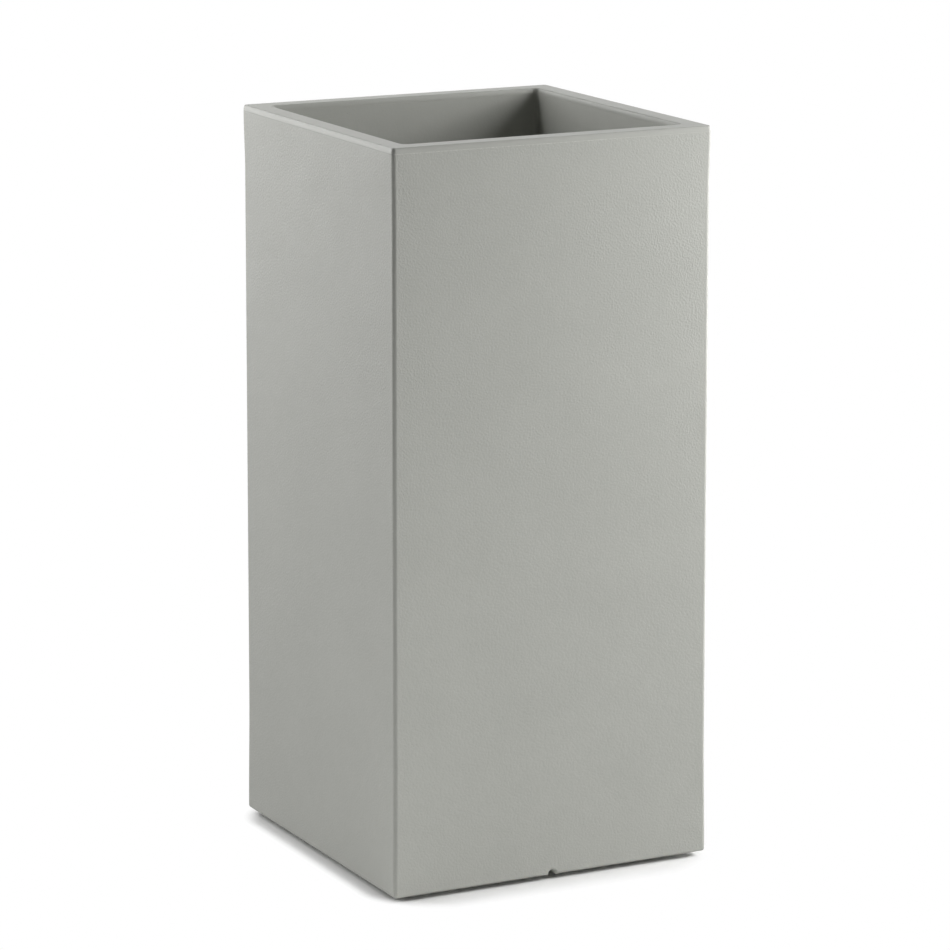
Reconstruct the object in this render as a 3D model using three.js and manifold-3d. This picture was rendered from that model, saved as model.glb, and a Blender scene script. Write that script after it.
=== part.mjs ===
// A tall square planter with double walls, in millimetres, +Z up, with its front face towards -Y.
// The origin is on the floor, on the planter's centre line.
//
// The walls are double, 30 mm thick in all at the top, where a rim frame joins shell and liner.
// A base pan closes the bottom above a shallow recess, which drains through a half-round channel
// in the middle of the front edge. Inside, a perforated shelf lies loose on four cleats bonded to
// the liner, and a stopper closes the drain fitting in its floor. Four rubber feet carry it all.

import * as THREE from "three";
import { mergeVertices } from "three/addons/utils/BufferGeometryUtils.js";
import Module from "manifold-3d";

const wasm = await Module();
wasm.setup();

// ---- Driving dimensions ----

const bodyWidth = 400; // across the outer faces at the foot of the shell
const overallHeight = 850; // from the floor to the top of the rim
const gap = 0.3; // between faces that rest on each other or are bonded together

// Outer shell
const shellWall = 3.5;
const wallDraft = 2; // how much nearer the centre each wall is at the rim than at the foot
const wallSink = 1; // how far each wall sinks in between its stiff ends
const stiffTop = 70; // the height over which the sink fades out at the top
const stiffFoot = 140; // and at the foot
const shellCorner = 5; // radius of the upright outer corners
const footRound = 6; // radius of the bottom edge
const bottomFlange = 52; // width of the turned-in bottom flange, from the outer face
const topFlange = 12; // width of the turned-in top flange, from the outer face
const leastCorner = 1; // smallest radius of an outline's corner

// Drain channel through the bottom flange, in the middle of the front
const channelRadius = 4.5;
const channelCentre = 1; // height of its centre line above the shell's underside
const channelFlare = 3; // how much wider its mouth is than its bore, at the outer face
const flareDepth = 5;

// Rim frame
const rimWidth = 30; // from the outer face to the opening
const rimHeight = 7; // from the seam to the top
const outerEase = 3; // radius of the rounded outer edge
const rimLean = 0.3; // how far the frame's outer face leans in below that edge
const innerEase = 6.5; // radius of the rounded inner edge
const openingCorner = 12; // radius of the opening's upright corners
const tongueDepth = 8; // locating tongue under the frame, between the two flanges
const tongueClearance = 0.5;

// Inner liner
const linerWall = 3;
const linerFlange = 12; // width of the turned-out top flange, from the opening
const linerDraft = 11; // how much nearer the centre each wall is at the floor than at the rim
const floorRound = 12; // radius between the liner's walls and its floor

// Floors: the liner's floor and the pan below it fall together to a sump in the middle
const floorFall = 4;
const sumpHalf = 40;
const sumpDepth = 5;
const sumpSlope = 4; // width of the sloping side of the sump

// Base pan
const panWall = 3;
const panClearance = 0.8; // to the inside of the shell
const panRise = 26; // from the underside of its flange to its top, below the edge of the liner's flat floor
const riserLean = 6; // how far the riser leans in on its way up
const riserClearance = 6; // between the foot of the riser and the bottom flange's edge
const channelRoom = 1; // around the channel, where the pan's flange is cut away

// Planting shelf and the cleats that carry it
const shelfBelowRim = 375; // from the top of the rim to the top of the shelf
const cleatWidth = 10;
const cleatEdge = 6; // height of a cleat's front face
const cleatHeight = 18; // height of its back, against the wall
const cleatLength = 240;
const shelfPlate = 5;
const shelfClearance = 1.7; // to the liner on each side
const shelfCorner = 9;
const ribHeight = 15;
const ribWidth = 3;
const ribClearance = 4; // between the outermost ribs and the cleats
const holeRadius = 4.5;
const holePitch = 55;
const holesAcross = 5;
const gripLength = 60;
const gripWidth = 22;
const gripInset = 28; // from the shelf's edge to the middle of a grip hole
const gripRoom = 2; // around a grip hole, where the ribs are left out

// Drain fitting, its seals and its stopper
const boreRadius = 12;
const tailRadius = 17;
const tailClearance = 0.5; // around the tail, in the holes it passes through
const fittingFlangeRadius = 28;
const fittingFlange = 3.5;
const sealThickness = 2;
const sealInset = 2; // how much smaller a seal is than the flange or nut that presses on it
const nutAcrossFlats = 50;
const nutHeight = 8;
const tailBeyondNut = 2;
const seatRadius = 14.3; // the bore's radius at the top of its tapered seat
const seatDepth = 12;
const stopperClearance = 0.3;
const stopperBelowSeat = 1; // how far the stopper stops short of the seat's end
const stopperHeadRadius = 18;
const stopperHead = 3;
const gripTabLength = 22;
const gripTabWidth = 5;
const gripTabHeight = 14;

// Feet
const padRadius = 15;
const padClearHeight = 6; // from the floor to the shell's underside
const padInset = 34; // from the outer faces to the middle of a foot
const padChamfer = 1.2;
const screwRadius = 3;
const screwHeadRadius = 6;
const screwHead = 2.8;
const screwHeadLift = 0.7; // from the floor to the screw's head
const screwHoleRadius = 3.5;
const socketRadius = 2.3;
const socketDepth = 1.6;
const footNutAcrossFlats = 10;
const footNutHeight = 5;
const screwBeyondNut = 2;

// Fineness of the round parts
const cornerSteps = 6; // on each corner of a square outline
const roundSteps = 6; // on a rounded edge
const turnSteps = 32; // around a turned part
const smallTurnSteps = 16; // around a screw, a nut's hole or a drain hole
const wallSteps = 4; // along each stiff end of a wall

const edgeChamfer = 1; // on the edges of the small turned parts
const overshoot = 1; // how far a cutting shape reaches past what it cuts, and a joined one into it
const mergeDistance = 1e-4; // corners nearer than this are one corner
const hexSides = 6;

// ---- Sizes that follow ----

const shellFoot = padClearHeight;
const seamHeight = overallHeight - rimHeight;
const topHalf = bodyWidth / 2 - wallDraft; // outer face at the seam
const openingHalf = topHalf - rimWidth;
const panFoot = shellFoot + shellWall + gap; // underside of the pan's flange
const linerStandoff = gap + linerWall; // from the top of the pan to the inside of the liner
const panSumpTop = panFoot + panRise - floorFall - sumpDepth;
const linerSumpTop = panSumpTop + linerStandoff;
const floorEdge = openingHalf - linerDraft - floorRound; // half width of the liner's flat floor
const shelfBottom = overallHeight - shelfBelowRim - shelfPlate;
const cleatTop = shelfBottom - gap;
const footSpot = bodyWidth / 2 - padInset; // x and y of a foot

// Half the shell's outer width at a height.
function wallHalf(z) {
  const rise = (z - shellFoot) / (seamHeight - shellFoot);
  const sunk = Math.min(
    THREE.MathUtils.smoothstep(z, shellFoot, shellFoot + stiffFoot),
    THREE.MathUtils.smoothstep(seamHeight - z, 0, stiffTop),
  );
  return bodyWidth / 2 - wallDraft * rise - wallSink * sunk;
}

// Height of the pan's top at a half width. The liner's floor runs parallel to it.
function panTop(half) {
  const slopeStart = sumpHalf + sumpSlope;
  return panSumpTop + sumpDepth + (floorFall * (half - slopeStart)) / (floorEdge - slopeStart);
}

const linerFloorTop = panTop(floorEdge) + linerStandoff;

// Half the liner's inner width at a height.
function linerHalf(z) {
  const bendTop = linerFloorTop + floorRound;
  return openingHalf - (linerDraft * (seamHeight - z)) / (seamHeight - bendTop);
}

// Corner radius of an outline that follows the shell, or the opening, at another width.
const shellCornerAt = (half) => Math.max(leastCorner, shellCorner - (topHalf - half));
const openingCornerAt = (half) => Math.max(leastCorner, openingCorner + (half - openingHalf));

// ---- Geometry helpers ----

// One outline: a square with round corners, seen from above, counter-clockwise.
function squareOutline(half, corner, z) {
  const centre = half - corner;
  const sides = [[1, 1], [-1, 1], [-1, -1], [1, -1]];
  return sides.flatMap(([sx, sy], quarter) =>
    Array.from({ length: cornerSteps + 1 }, (_, step) => {
      const turn = ((quarter + step / cornerSteps) * Math.PI) / 2;
      const x = sx * centre + corner * Math.cos(turn);
      const y = sy * centre + corner * Math.sin(turn);
      return [x, y, z];
    }),
  );
}

// A solid made by carrying a profile round a square. Each profile point is [half width, height,
// corner radius]. The profile runs up the outside and down the inside. It closes on itself, or
// starts and ends at half width 0.
function squareTurned(profile) {
  const outlines = profile.map(([half, z, corner]) => squareOutline(half, half ? corner : 0, z));
  const count = outlines[0].length;
  const index = [];
  outlines.forEach((_, ring) => {
    const next = (ring + 1) % outlines.length;
    const startsAtPoint = profile[ring][0] === 0;
    const endsAtPoint = profile[next][0] === 0;
    if (startsAtPoint && endsAtPoint) return;
    for (let i = 0; i < count; i++) {
      const j = (i + 1) % count;
      const [a, b, c, d] = [ring * count + i, ring * count + j, next * count + j, next * count + i];
      if (!startsAtPoint) index.push(a, b, d);
      if (!endsAtPoint) index.push(b, c, d);
    }
  });
  const geometry = new THREE.BufferGeometry();
  geometry.setAttribute("position", new THREE.Float32BufferAttribute(outlines.flat(2), 3));
  geometry.setIndex(index);
  return geometry;
}

// Points of a rounded edge: part of an ellipse, between two angles given in quarter turns.
function rounded(x, z, radiusX, radiusZ, from, to) {
  const quarter = Math.PI / 2;
  const curve = new THREE.EllipseCurve(x, z, radiusX, radiusZ, from * quarter, to * quarter, to < from);
  return curve.getPoints(roundSteps).map((p) => [p.x, p.y]);
}

// Gives each [half width, height] of a profile its corner radius.
const withCorners = (points, cornerAt) => points.map(([half, z]) => [half, z, cornerAt(half)]);

// A turned part about the Z axis, from a closed profile of [radius, height] points.
function turned(points, steps = turnSteps) {
  const closed = points[0][0] === 0 ? points : [...points, points[0]];
  const geometry = new THREE.LatheGeometry(closed.map(([r, z]) => new THREE.Vector2(r, z)), steps);
  return geometry.rotateX(Math.PI / 2);
}

const rod = (radius, bottom, top, steps = turnSteps) =>
  turned([[0, bottom], [radius, bottom], [radius, top], [0, top]], steps);

const ring = (inner, outer, bottom, top) =>
  turned([[inner, bottom], [outer, bottom], [outer, top], [inner, top]]);

function box(width, depth, height, x, y, bottom) {
  return new THREE.BoxGeometry(width, depth, height).translate(x, y, bottom + height / 2);
}

// A rod along Y, from one y to another, which may widen on the way.
function rodAlongY(startRadius, endRadius, startY, endY, z) {
  const length = endY - startY;
  const geometry = new THREE.CylinderGeometry(endRadius, startRadius, length, turnSteps);
  return geometry.translate(0, (startY + endY) / 2, z);
}

function extruded(shape, bottom, height, steps = smallTurnSteps) {
  const options = { depth: height, bevelEnabled: false, curveSegments: steps / 2 };
  return new THREE.ExtrudeGeometry(shape, options).translate(0, 0, bottom);
}

function circlePath(x, y, radius) {
  return new THREE.Path().absarc(x, y, radius, 0, 2 * Math.PI, true);
}

function squareShape(half, corner) {
  const outline = squareOutline(half, corner, 0).map(([x, y]) => new THREE.Vector2(x, y));
  return new THREE.Shape(outline);
}

// A slot with round ends, lying along Y.
function slotPath(x, y, length, width) {
  const radius = width / 2;
  const straight = length / 2 - radius;
  const path = new THREE.Path().absarc(x, y + straight, radius, 0, Math.PI, false);
  return path.absarc(x, y - straight, radius, Math.PI, 2 * Math.PI, false);
}

function hexNut(acrossFlats, holeRadius, bottom, height, steps) {
  const reach = acrossFlats / Math.sqrt(3);
  const corners = Array.from({ length: hexSides }, (_, i) => {
    const turn = (2 * Math.PI * i) / hexSides;
    return new THREE.Vector2(reach * Math.cos(turn), reach * Math.sin(turn));
  });
  const shape = new THREE.Shape(corners);
  shape.holes.push(circlePath(0, 0, holeRadius));
  return extruded(shape, bottom, height, steps);
}

// ---- Cutting and joining ----

// The solid of a closed geometry. A shape that is already a solid passes through.
function solid(shape) {
  if (!shape.isBufferGeometry) return shape;
  const bare = shape.clone();
  bare.deleteAttribute("normal");
  bare.deleteAttribute("uv");
  const merged = mergeVertices(bare, mergeDistance);
  const corners = merged.index.array;
  const kept = [];
  for (let i = 0; i < corners.length; i += 3) {
    const [a, b, c] = [corners[i], corners[i + 1], corners[i + 2]];
    if (a !== b && b !== c && a !== c) kept.push(a, b, c);
  }
  const vertProperties = new Float32Array(merged.attributes.position.array);
  return new wasm.Manifold(
    new wasm.Mesh({ numProp: 3, vertProperties, triVerts: new Uint32Array(kept) }),
  );
}

const join = (...shapes) => shapes.map(solid).reduce((all, next) => all.add(next));

const cut = (shape, ...tools) =>
  tools.map(solid).reduce((left, tool) => left.subtract(tool), solid(shape));

// The flat-shaded geometry of a shape.
function geometryOf(shape) {
  const mesh = solid(shape).getMesh();
  const geometry = new THREE.BufferGeometry();
  geometry.setAttribute("position", new THREE.BufferAttribute(mesh.vertProperties, 3));
  geometry.setIndex(new THREE.BufferAttribute(mesh.triVerts, 1));
  const flat = geometry.toNonIndexed();
  flat.computeVertexNormals();
  return flat;
}

// ---- Sub-parts ----

// The hole that the drain fitting's tail passes through, from one face of a floor to the other.
const tailHole = (bottom, top) =>
  rod(tailRadius + tailClearance, bottom - overshoot, top + overshoot);

const footSpots = [
  ["front_left", -footSpot, -footSpot],
  ["front_right", footSpot, -footSpot],
  ["back_right", footSpot, footSpot],
  ["back_left", -footSpot, footSpot],
];

const footHoles = (radius, bottom, top) =>
  footSpots.map(([, x, y]) => rod(radius, bottom, top, smallTurnSteps).translate(x, y, 0));

function outerShell() {
  const wallShares = Array.from({ length: wallSteps + 1 }, (_, i) => i / wallSteps);
  const lower = wallShares.map((share) => shellFoot + footRound + share * (stiffFoot - footRound));
  const upper = wallShares.map((share) => seamHeight - (1 - share) * stiffTop);
  const heights = [...lower, ...upper];
  const footHalf = wallHalf(shellFoot + footRound) - footRound;
  const flangeHalf = bodyWidth / 2 - bottomFlange;
  const underside = [[flangeHalf, shellFoot]];
  const edge = rounded(footHalf, shellFoot + footRound, footRound, footRound, -1, 0);
  const outside = heights.slice(1).map((z) => [wallHalf(z), z]);
  const flangeEdge = topHalf - topFlange;
  const inside = heights.slice(1, -1).reverse().map((z) => [wallHalf(z) - shellWall, z]);
  const shell = squareTurned([
    ...withCorners([...underside, ...edge, ...outside], shellCornerAt),
    [flangeEdge, seamHeight, openingCornerAt(flangeEdge)],
    [flangeEdge, seamHeight - shellWall, openingCornerAt(flangeEdge)],
    ...withCorners([[topHalf - shellWall, seamHeight - shellWall], ...inside], shellCornerAt),
    ...withCorners([[bodyWidth / 2 - shellWall, shellFoot + shellWall]], shellCornerAt),
    ...withCorners([[flangeHalf, shellFoot + shellWall]], shellCornerAt),
  ]);
  // The flange rises over the channel as a half tube.
  const channelZ = shellFoot + channelCentre;
  const front = -bodyWidth / 2;
  const tubeRadius = channelRadius + shellWall;
  const tube = rodAlongY(tubeRadius, tubeRadius, front + shellWall / 2, -flangeHalf, channelZ);
  const below = box(2 * (tubeRadius + overshoot), bodyWidth, tubeRadius, 0, 0, shellFoot - tubeRadius);
  const withChannel = join(shell, cut(tube, below));
  const boreEnd = -flangeHalf + overshoot;
  const bore = rodAlongY(channelRadius, channelRadius, front - overshoot, boreEnd, channelZ);
  const mouthRadius = channelRadius + channelFlare;
  const mouth = rodAlongY(mouthRadius, channelRadius, front, front + flareDepth, channelZ);
  return cut(withChannel, bore, mouth, ...footHoles(screwHoleRadius, shellFoot - overshoot, panFoot));
}

function rimFrame() {
  const bottom = seamHeight + gap;
  const innerRise = Math.min(innerEase, overallHeight - bottom - gap);
  const edgeStart = topHalf - rimLean - outerEase;
  const outerEdge = rounded(edgeStart, overallHeight - outerEase, outerEase, outerEase, 0, 1);
  const tongueInner = openingHalf + linerFlange + tongueClearance;
  const tongueOuter = topHalf - topFlange - tongueClearance;
  return squareTurned([
    ...withCorners([[topHalf, bottom], ...outerEdge], shellCornerAt),
    ...withCorners(
      rounded(openingHalf + innerEase, overallHeight - innerRise, innerEase, innerRise, 1, 2),
      openingCornerAt,
    ),
    ...withCorners(
      [
        [openingHalf, bottom],
        [tongueInner, bottom],
        [tongueInner, seamHeight - tongueDepth],
        [tongueOuter, seamHeight - tongueDepth],
        [tongueOuter, bottom],
      ],
      openingCornerAt,
    ),
  ]);
}

function innerLiner() {
  const floorHalf = floorEdge + floorRound;
  const underRound = floorRound + linerWall;
  // The same profile is drawn for the inside, and one wall further out for the outside.
  const floor = (out) => [
    [0, linerSumpTop - out],
    [sumpHalf, linerSumpTop - out],
    [sumpHalf + sumpSlope, linerSumpTop + sumpDepth - out],
  ];
  const bend = (out, radius) =>
    rounded(floorEdge, linerFloorTop + floorRound, radius, radius, -1, 0).slice(0, -1);
  const flangeHalf = openingHalf + linerFlange;
  const outerCorner = () => openingCorner + linerWall;
  const innerCorner = () => openingCorner;
  const flange = [
    [openingHalf + linerWall, seamHeight - linerWall],
    [flangeHalf, seamHeight - linerWall],
    [flangeHalf, seamHeight],
    [openingHalf, seamHeight],
  ];
  const liner = squareTurned([
    ...withCorners([...floor(linerWall), ...bend(linerWall, underRound)], outerCorner),
    ...withCorners([[floorHalf + linerWall, linerFloorTop + floorRound]], outerCorner),
    ...withCorners(flange, openingCornerAt),
    ...withCorners([[floorHalf, linerFloorTop + floorRound]], innerCorner),
    ...withCorners([...bend(0, floorRound).reverse(), ...floor(0).reverse()], innerCorner),
  ]);
  return cut(liner, tailHole(linerSumpTop - linerWall, linerSumpTop));
}

function basePan() {
  const half = bodyWidth / 2 - shellWall - panClearance;
  const riserFoot = bodyWidth / 2 - bottomFlange - riserClearance;
  const plateauHalf = riserFoot - riserLean;
  const upper = [
    [half, panFoot + panWall],
    [riserFoot + panWall, panFoot + panWall],
    [plateauHalf, panTop(plateauHalf)],
    [sumpHalf + sumpSlope, panSumpTop + sumpDepth],
    [sumpHalf, panSumpTop],
    [0, panSumpTop],
  ];
  const lower = [
    [0, panSumpTop - panWall],
    [sumpHalf, panSumpTop - panWall],
    [sumpHalf + sumpSlope, panSumpTop + sumpDepth - panWall],
    [plateauHalf - panWall, panTop(plateauHalf - panWall) - panWall],
    [riserFoot, panFoot],
    [half, panFoot],
  ];
  const pan = squareTurned(withCorners([...lower, ...upper], () => openingCorner));
  const roomWidth = 2 * (channelRadius + shellWall + channelRoom);
  const roomEnd = bodyWidth / 2 - bottomFlange - channelRoom;
  const roomLength = bodyWidth / 2 - roomEnd;
  const roomHeight = panWall + 2 * overshoot;
  const room = box(roomWidth, roomLength, roomHeight, 0, -roomEnd - roomLength / 2, panFoot - overshoot);
  return cut(
    pan,
    room,
    tailHole(panSumpTop - panWall, panSumpTop),
    ...footHoles(screwHoleRadius, panFoot - overshoot, panFoot + panWall + overshoot),
  );
}

// A cleat on the liner's right wall; the others are turned copies.
function shelfCleat() {
  const back = (z) => linerHalf(z) - gap;
  const front = linerHalf(cleatTop) - cleatWidth;
  const profile = new THREE.Shape([
    new THREE.Vector2(back(cleatTop), cleatTop),
    new THREE.Vector2(front, cleatTop),
    new THREE.Vector2(front, cleatTop - cleatEdge),
    new THREE.Vector2(back(cleatTop - cleatHeight), cleatTop - cleatHeight),
  ]);
  return extruded(profile, -cleatLength / 2, cleatLength).rotateX(Math.PI / 2);
}

function plantingShelf() {
  const half = linerHalf(shelfBottom) - shelfClearance;
  const bottom = shelfBottom;
  const gripSpot = half - gripInset;
  const shape = squareShape(half, shelfCorner);
  const sides = [-1, 1];
  for (const side of sides) shape.holes.push(slotPath(side * gripSpot, 0, gripLength, gripWidth));
  const firstHole = (-(holesAcross - 1) / 2) * holePitch;
  const holeLines = Array.from({ length: holesAcross }, (_, i) => firstHole + i * holePitch);
  for (const x of holeLines) {
    for (const y of holeLines) {
      const besideGrip = Math.abs(x) + holeRadius > gripSpot - gripWidth / 2 - gripRoom;
      const alongGrip = Math.abs(y) - holeRadius < gripLength / 2 + gripRoom;
      if (!(besideGrip && alongGrip)) shape.holes.push(circlePath(x, y, holeRadius));
    }
  }
  const plate = extruded(shape, bottom, shelfPlate);
  // Ribs run both ways under the plate: one round the edge, and one midway between two hole lines.
  const edgeRib = linerHalf(cleatTop) - cleatWidth - ribClearance - ribWidth / 2;
  const midways = holeLines.slice(1).map((line) => line - holePitch / 2);
  const ribBottom = bottom - ribHeight;
  const ribLength = 2 * edgeRib + ribWidth;
  const ribs = [-edgeRib, ...midways, edgeRib].flatMap((place) => [
    box(ribWidth, ribLength, ribHeight + overshoot, place, 0, ribBottom),
    box(ribLength, ribWidth, ribHeight + overshoot, 0, place, ribBottom),
  ]);
  const roomWidth = gripWidth + 2 * gripRoom;
  const roomLength = gripLength + 2 * gripRoom;
  const roomHeight = ribHeight + 3 * overshoot;
  const rooms = sides.map((side) =>
    box(roomWidth, roomLength, roomHeight, side * gripSpot, 0, ribBottom - overshoot),
  );
  const grid = cut(join(...ribs), ...rooms);
  return join(plate, grid);
}

// Heights of the fitting's stack, from the liner's sump down to the lock nut.
const sealBottom = linerSumpTop + gap;
const fittingBottom = sealBottom + sealThickness + gap;
const fittingTop = fittingBottom + fittingFlange;
const washerTop = panSumpTop - panWall - gap;
const nutTop = washerTop - sealThickness - gap;
const tailEnd = nutTop - nutHeight - tailBeyondNut;

function drainFitting() {
  return turned([
    [boreRadius, tailEnd],
    [tailRadius, tailEnd],
    [tailRadius, fittingBottom],
    [fittingFlangeRadius, fittingBottom],
    [fittingFlangeRadius, fittingTop - edgeChamfer],
    [fittingFlangeRadius - edgeChamfer, fittingTop],
    [seatRadius, fittingTop],
    [boreRadius, fittingTop - seatDepth],
  ]);
}

function drainStopper() {
  const length = seatDepth - stopperBelowSeat;
  const taper = (seatRadius - boreRadius) / seatDepth;
  const topRadius = seatRadius - stopperClearance;
  const headBottom = fittingTop + gap;
  const headTop = headBottom + stopperHead;
  const body = turned([
    [0, headBottom - length],
    [topRadius - taper * length, headBottom - length],
    [topRadius, headBottom],
    [stopperHeadRadius, headBottom],
    [stopperHeadRadius, headTop - edgeChamfer],
    [stopperHeadRadius - edgeChamfer, headTop],
    [0, headTop],
  ]);
  // The grip is a tab with a round top, set a little into the head.
  const radius = gripTabLength / 2;
  const straight = gripTabHeight - radius;
  const tab = new THREE.Shape().moveTo(-radius, 0).lineTo(radius, 0).lineTo(radius, straight);
  tab.absarc(0, straight, radius, 0, Math.PI, false);
  const upright = new THREE.ExtrudeGeometry(tab, {
    depth: gripTabWidth,
    bevelEnabled: false,
    curveSegments: smallTurnSteps,
  });
  upright.translate(0, 0, -gripTabWidth / 2).rotateX(Math.PI / 2).translate(0, 0, headTop - overshoot);
  return join(body, upright);
}

function footPad() {
  const top = shellFoot - gap;
  const recessTop = screwHeadLift + screwHead + gap;
  return turned([
    [screwHeadRadius + gap, 0],
    [padRadius - padChamfer, 0],
    [padRadius, padChamfer],
    [padRadius, top],
    [screwHoleRadius, top],
    [screwHoleRadius, recessTop],
    [screwHeadRadius + gap, recessTop],
  ]);
}

const footNutBottom = panFoot + panWall + gap;

function footScrew() {
  const headTop = screwHeadLift + screwHead;
  const end = footNutBottom + footNutHeight + screwBeyondNut;
  const screw = turned(
    [
      [0, screwHeadLift],
      [screwHeadRadius - edgeChamfer, screwHeadLift],
      [screwHeadRadius, screwHeadLift + edgeChamfer],
      [screwHeadRadius, headTop],
      [screwRadius, headTop],
      [screwRadius, end - edgeChamfer],
      [screwRadius - edgeChamfer, end],
      [0, end],
    ],
    smallTurnSteps,
  );
  const socketBottom = screwHeadLift - overshoot;
  return cut(screw, rod(socketRadius, socketBottom, screwHeadLift + socketDepth, hexSides));
}

const footNut = () =>
  hexNut(footNutAcrossFlats, screwRadius + gap, footNutBottom, footNutHeight);

// ---- Materials ----

const finish = (color, roughness, metalness = 0) =>
  new THREE.MeshStandardMaterial({ color, roughness, metalness });

const grainedShell = finish(0xacada7, 0.55);
const smoothShell = finish(0xacada7, 0.45);
const darkPlastic = finish(0x3a3c3b, 0.6);
const blackPlastic = finish(0x1f2020, 0.5);
const rubber = finish(0x1b1b1b, 0.9);
const steel = finish(0xb9bcc0, 0.35, 1);

// ---- Assembly ----

const planter = new THREE.Group();

function add(name, shape, material, x = 0, y = 0, turn = 0) {
  const mesh = new THREE.Mesh(geometryOf(shape), material);
  mesh.name = name;
  mesh.position.set(x, y, 0);
  mesh.rotation.z = turn;
  planter.add(mesh);
}

add("outer_shell", outerShell(), grainedShell);
add("rim_frame", rimFrame(), smoothShell);
add("inner_liner", innerLiner(), smoothShell);
add("base_pan", basePan(), smoothShell);
["right", "back", "left", "front"].forEach((side, quarter) => {
  add("shelf_cleat_" + side, shelfCleat(), smoothShell, 0, 0, (quarter * Math.PI) / 2);
});
add("planting_shelf", plantingShelf(), darkPlastic);
add("drain_fitting", drainFitting(), blackPlastic);
add("drain_stopper", drainStopper(), rubber);

const sealInner = tailRadius + gap;
const flangeSeal = ring(sealInner, fittingFlangeRadius - sealInset, sealBottom, sealBottom + sealThickness);
add("drain_flange_seal", flangeSeal, rubber);
const nutSeal = ring(sealInner, nutAcrossFlats / 2 - sealInset, washerTop - sealThickness, washerTop);
add("drain_nut_seal", nutSeal, rubber);
const lockNut = hexNut(nutAcrossFlats, sealInner, nutTop - nutHeight, nutHeight, turnSteps);
add("drain_lock_nut", lockNut, blackPlastic);

for (const [place, x, y] of footSpots) {
  add("foot_pad_" + place, footPad(), rubber, x, y);
  add("foot_screw_" + place, footScrew(), steel, x, y);
  add("foot_nut_" + place, footNut(), steel, x, y);
}

export default planter;
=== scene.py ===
from math import cos, pi, radians, sin

import bmesh
import bpy
from mathutils import Matrix, Vector, noise


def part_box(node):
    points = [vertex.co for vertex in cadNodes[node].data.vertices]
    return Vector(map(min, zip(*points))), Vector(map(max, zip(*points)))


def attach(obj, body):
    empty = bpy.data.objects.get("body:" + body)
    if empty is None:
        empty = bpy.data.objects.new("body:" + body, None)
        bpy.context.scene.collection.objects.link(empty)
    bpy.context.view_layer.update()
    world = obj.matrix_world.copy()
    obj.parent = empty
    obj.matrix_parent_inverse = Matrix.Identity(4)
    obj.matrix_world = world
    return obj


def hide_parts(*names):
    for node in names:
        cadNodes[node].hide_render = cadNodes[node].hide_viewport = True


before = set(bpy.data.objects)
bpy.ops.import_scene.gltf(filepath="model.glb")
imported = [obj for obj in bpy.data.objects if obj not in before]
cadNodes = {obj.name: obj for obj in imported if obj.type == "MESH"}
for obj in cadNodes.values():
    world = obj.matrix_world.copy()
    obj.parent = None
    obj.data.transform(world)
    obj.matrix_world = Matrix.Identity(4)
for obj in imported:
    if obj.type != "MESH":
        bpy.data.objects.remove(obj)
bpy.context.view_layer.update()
print("frame loaded:", len(cadNodes), "nodes")

mm = 0.001
overcut = 1 * mm           # how far a cutter reaches past what it cuts
weld = 0.002 * mm          # points closer than this become one
fineWeld = 0.001 * mm      # and after a cut, points closer than this
shellLow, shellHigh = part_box("outer_shell")
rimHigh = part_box("rim_frame")[1]
shelfLow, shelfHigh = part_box("planting_shelf")

body = {
    "footHalf": shellHigh[0],  # half the outer width at the foot
    "topHalf": rimHigh[0],     # and at the seam
    "foot": shellLow[2],       # the shell's underside
    "seam": shellHigh[2],      # where the rim frame begins
    "top": rimHigh[2],
    "rimWidth": 25 * mm,
    "gap": 0.3 * mm,           # between neighbouring pieces
}
body["opening"] = body["topHalf"] - body["rimWidth"]


# Materials. A Value wraps a socket, so that shader maths reads as maths.

class Value:
    def __init__(self, tree, socket):
        self.tree = tree
        self.socket = socket

    def node(self, kind, settings=None, **inputs):
        made = self.tree.nodes.new(kind)
        for name, setting in (settings or {}).items():
            setattr(made, name, setting)
        for name, value in inputs.items():
            socket = findInput(made, name)
            if isinstance(value, Value):
                self.tree.links.new(value.socket, socket)
            else:
                socket.default_value = value
        return made

    def maths(self, operation, other=0.0):
        made = self.node("ShaderNodeMath", {"operation": operation}, i0=self, i1=other)
        return Value(self.tree, made.outputs[0])

    def __add__(self, other):
        return self.maths("ADD", other)

    __radd__ = __add__

    def __mul__(self, other):
        return self.maths("MULTIPLY", other)

    __rmul__ = __mul__

    def __sub__(self, other):
        return self.maths("SUBTRACT", other)

    def __rsub__(self, other):
        return (self * -1.0) + other

    def __truediv__(self, other):
        return self.maths("DIVIDE", other)

    def power(self, other):
        return self.maths("POWER", other)

    def atMost(self, other):
        return self.maths("MINIMUM", other)

    def between(self, low, high):
        # 0 below low, 1 above high, eased in between
        made = self.node("ShaderNodeMapRange", {"interpolation_type": "SMOOTHSTEP"},
                         Value=self, i1=low, i2=high)
        return Value(self.tree, made.outputs[0])


def findInput(node, name):
    if name[0] == "i" and name[1:].isdigit():
        return node.inputs[int(name[1:])]
    return node.inputs[name.replace("_", " ")]


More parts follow.
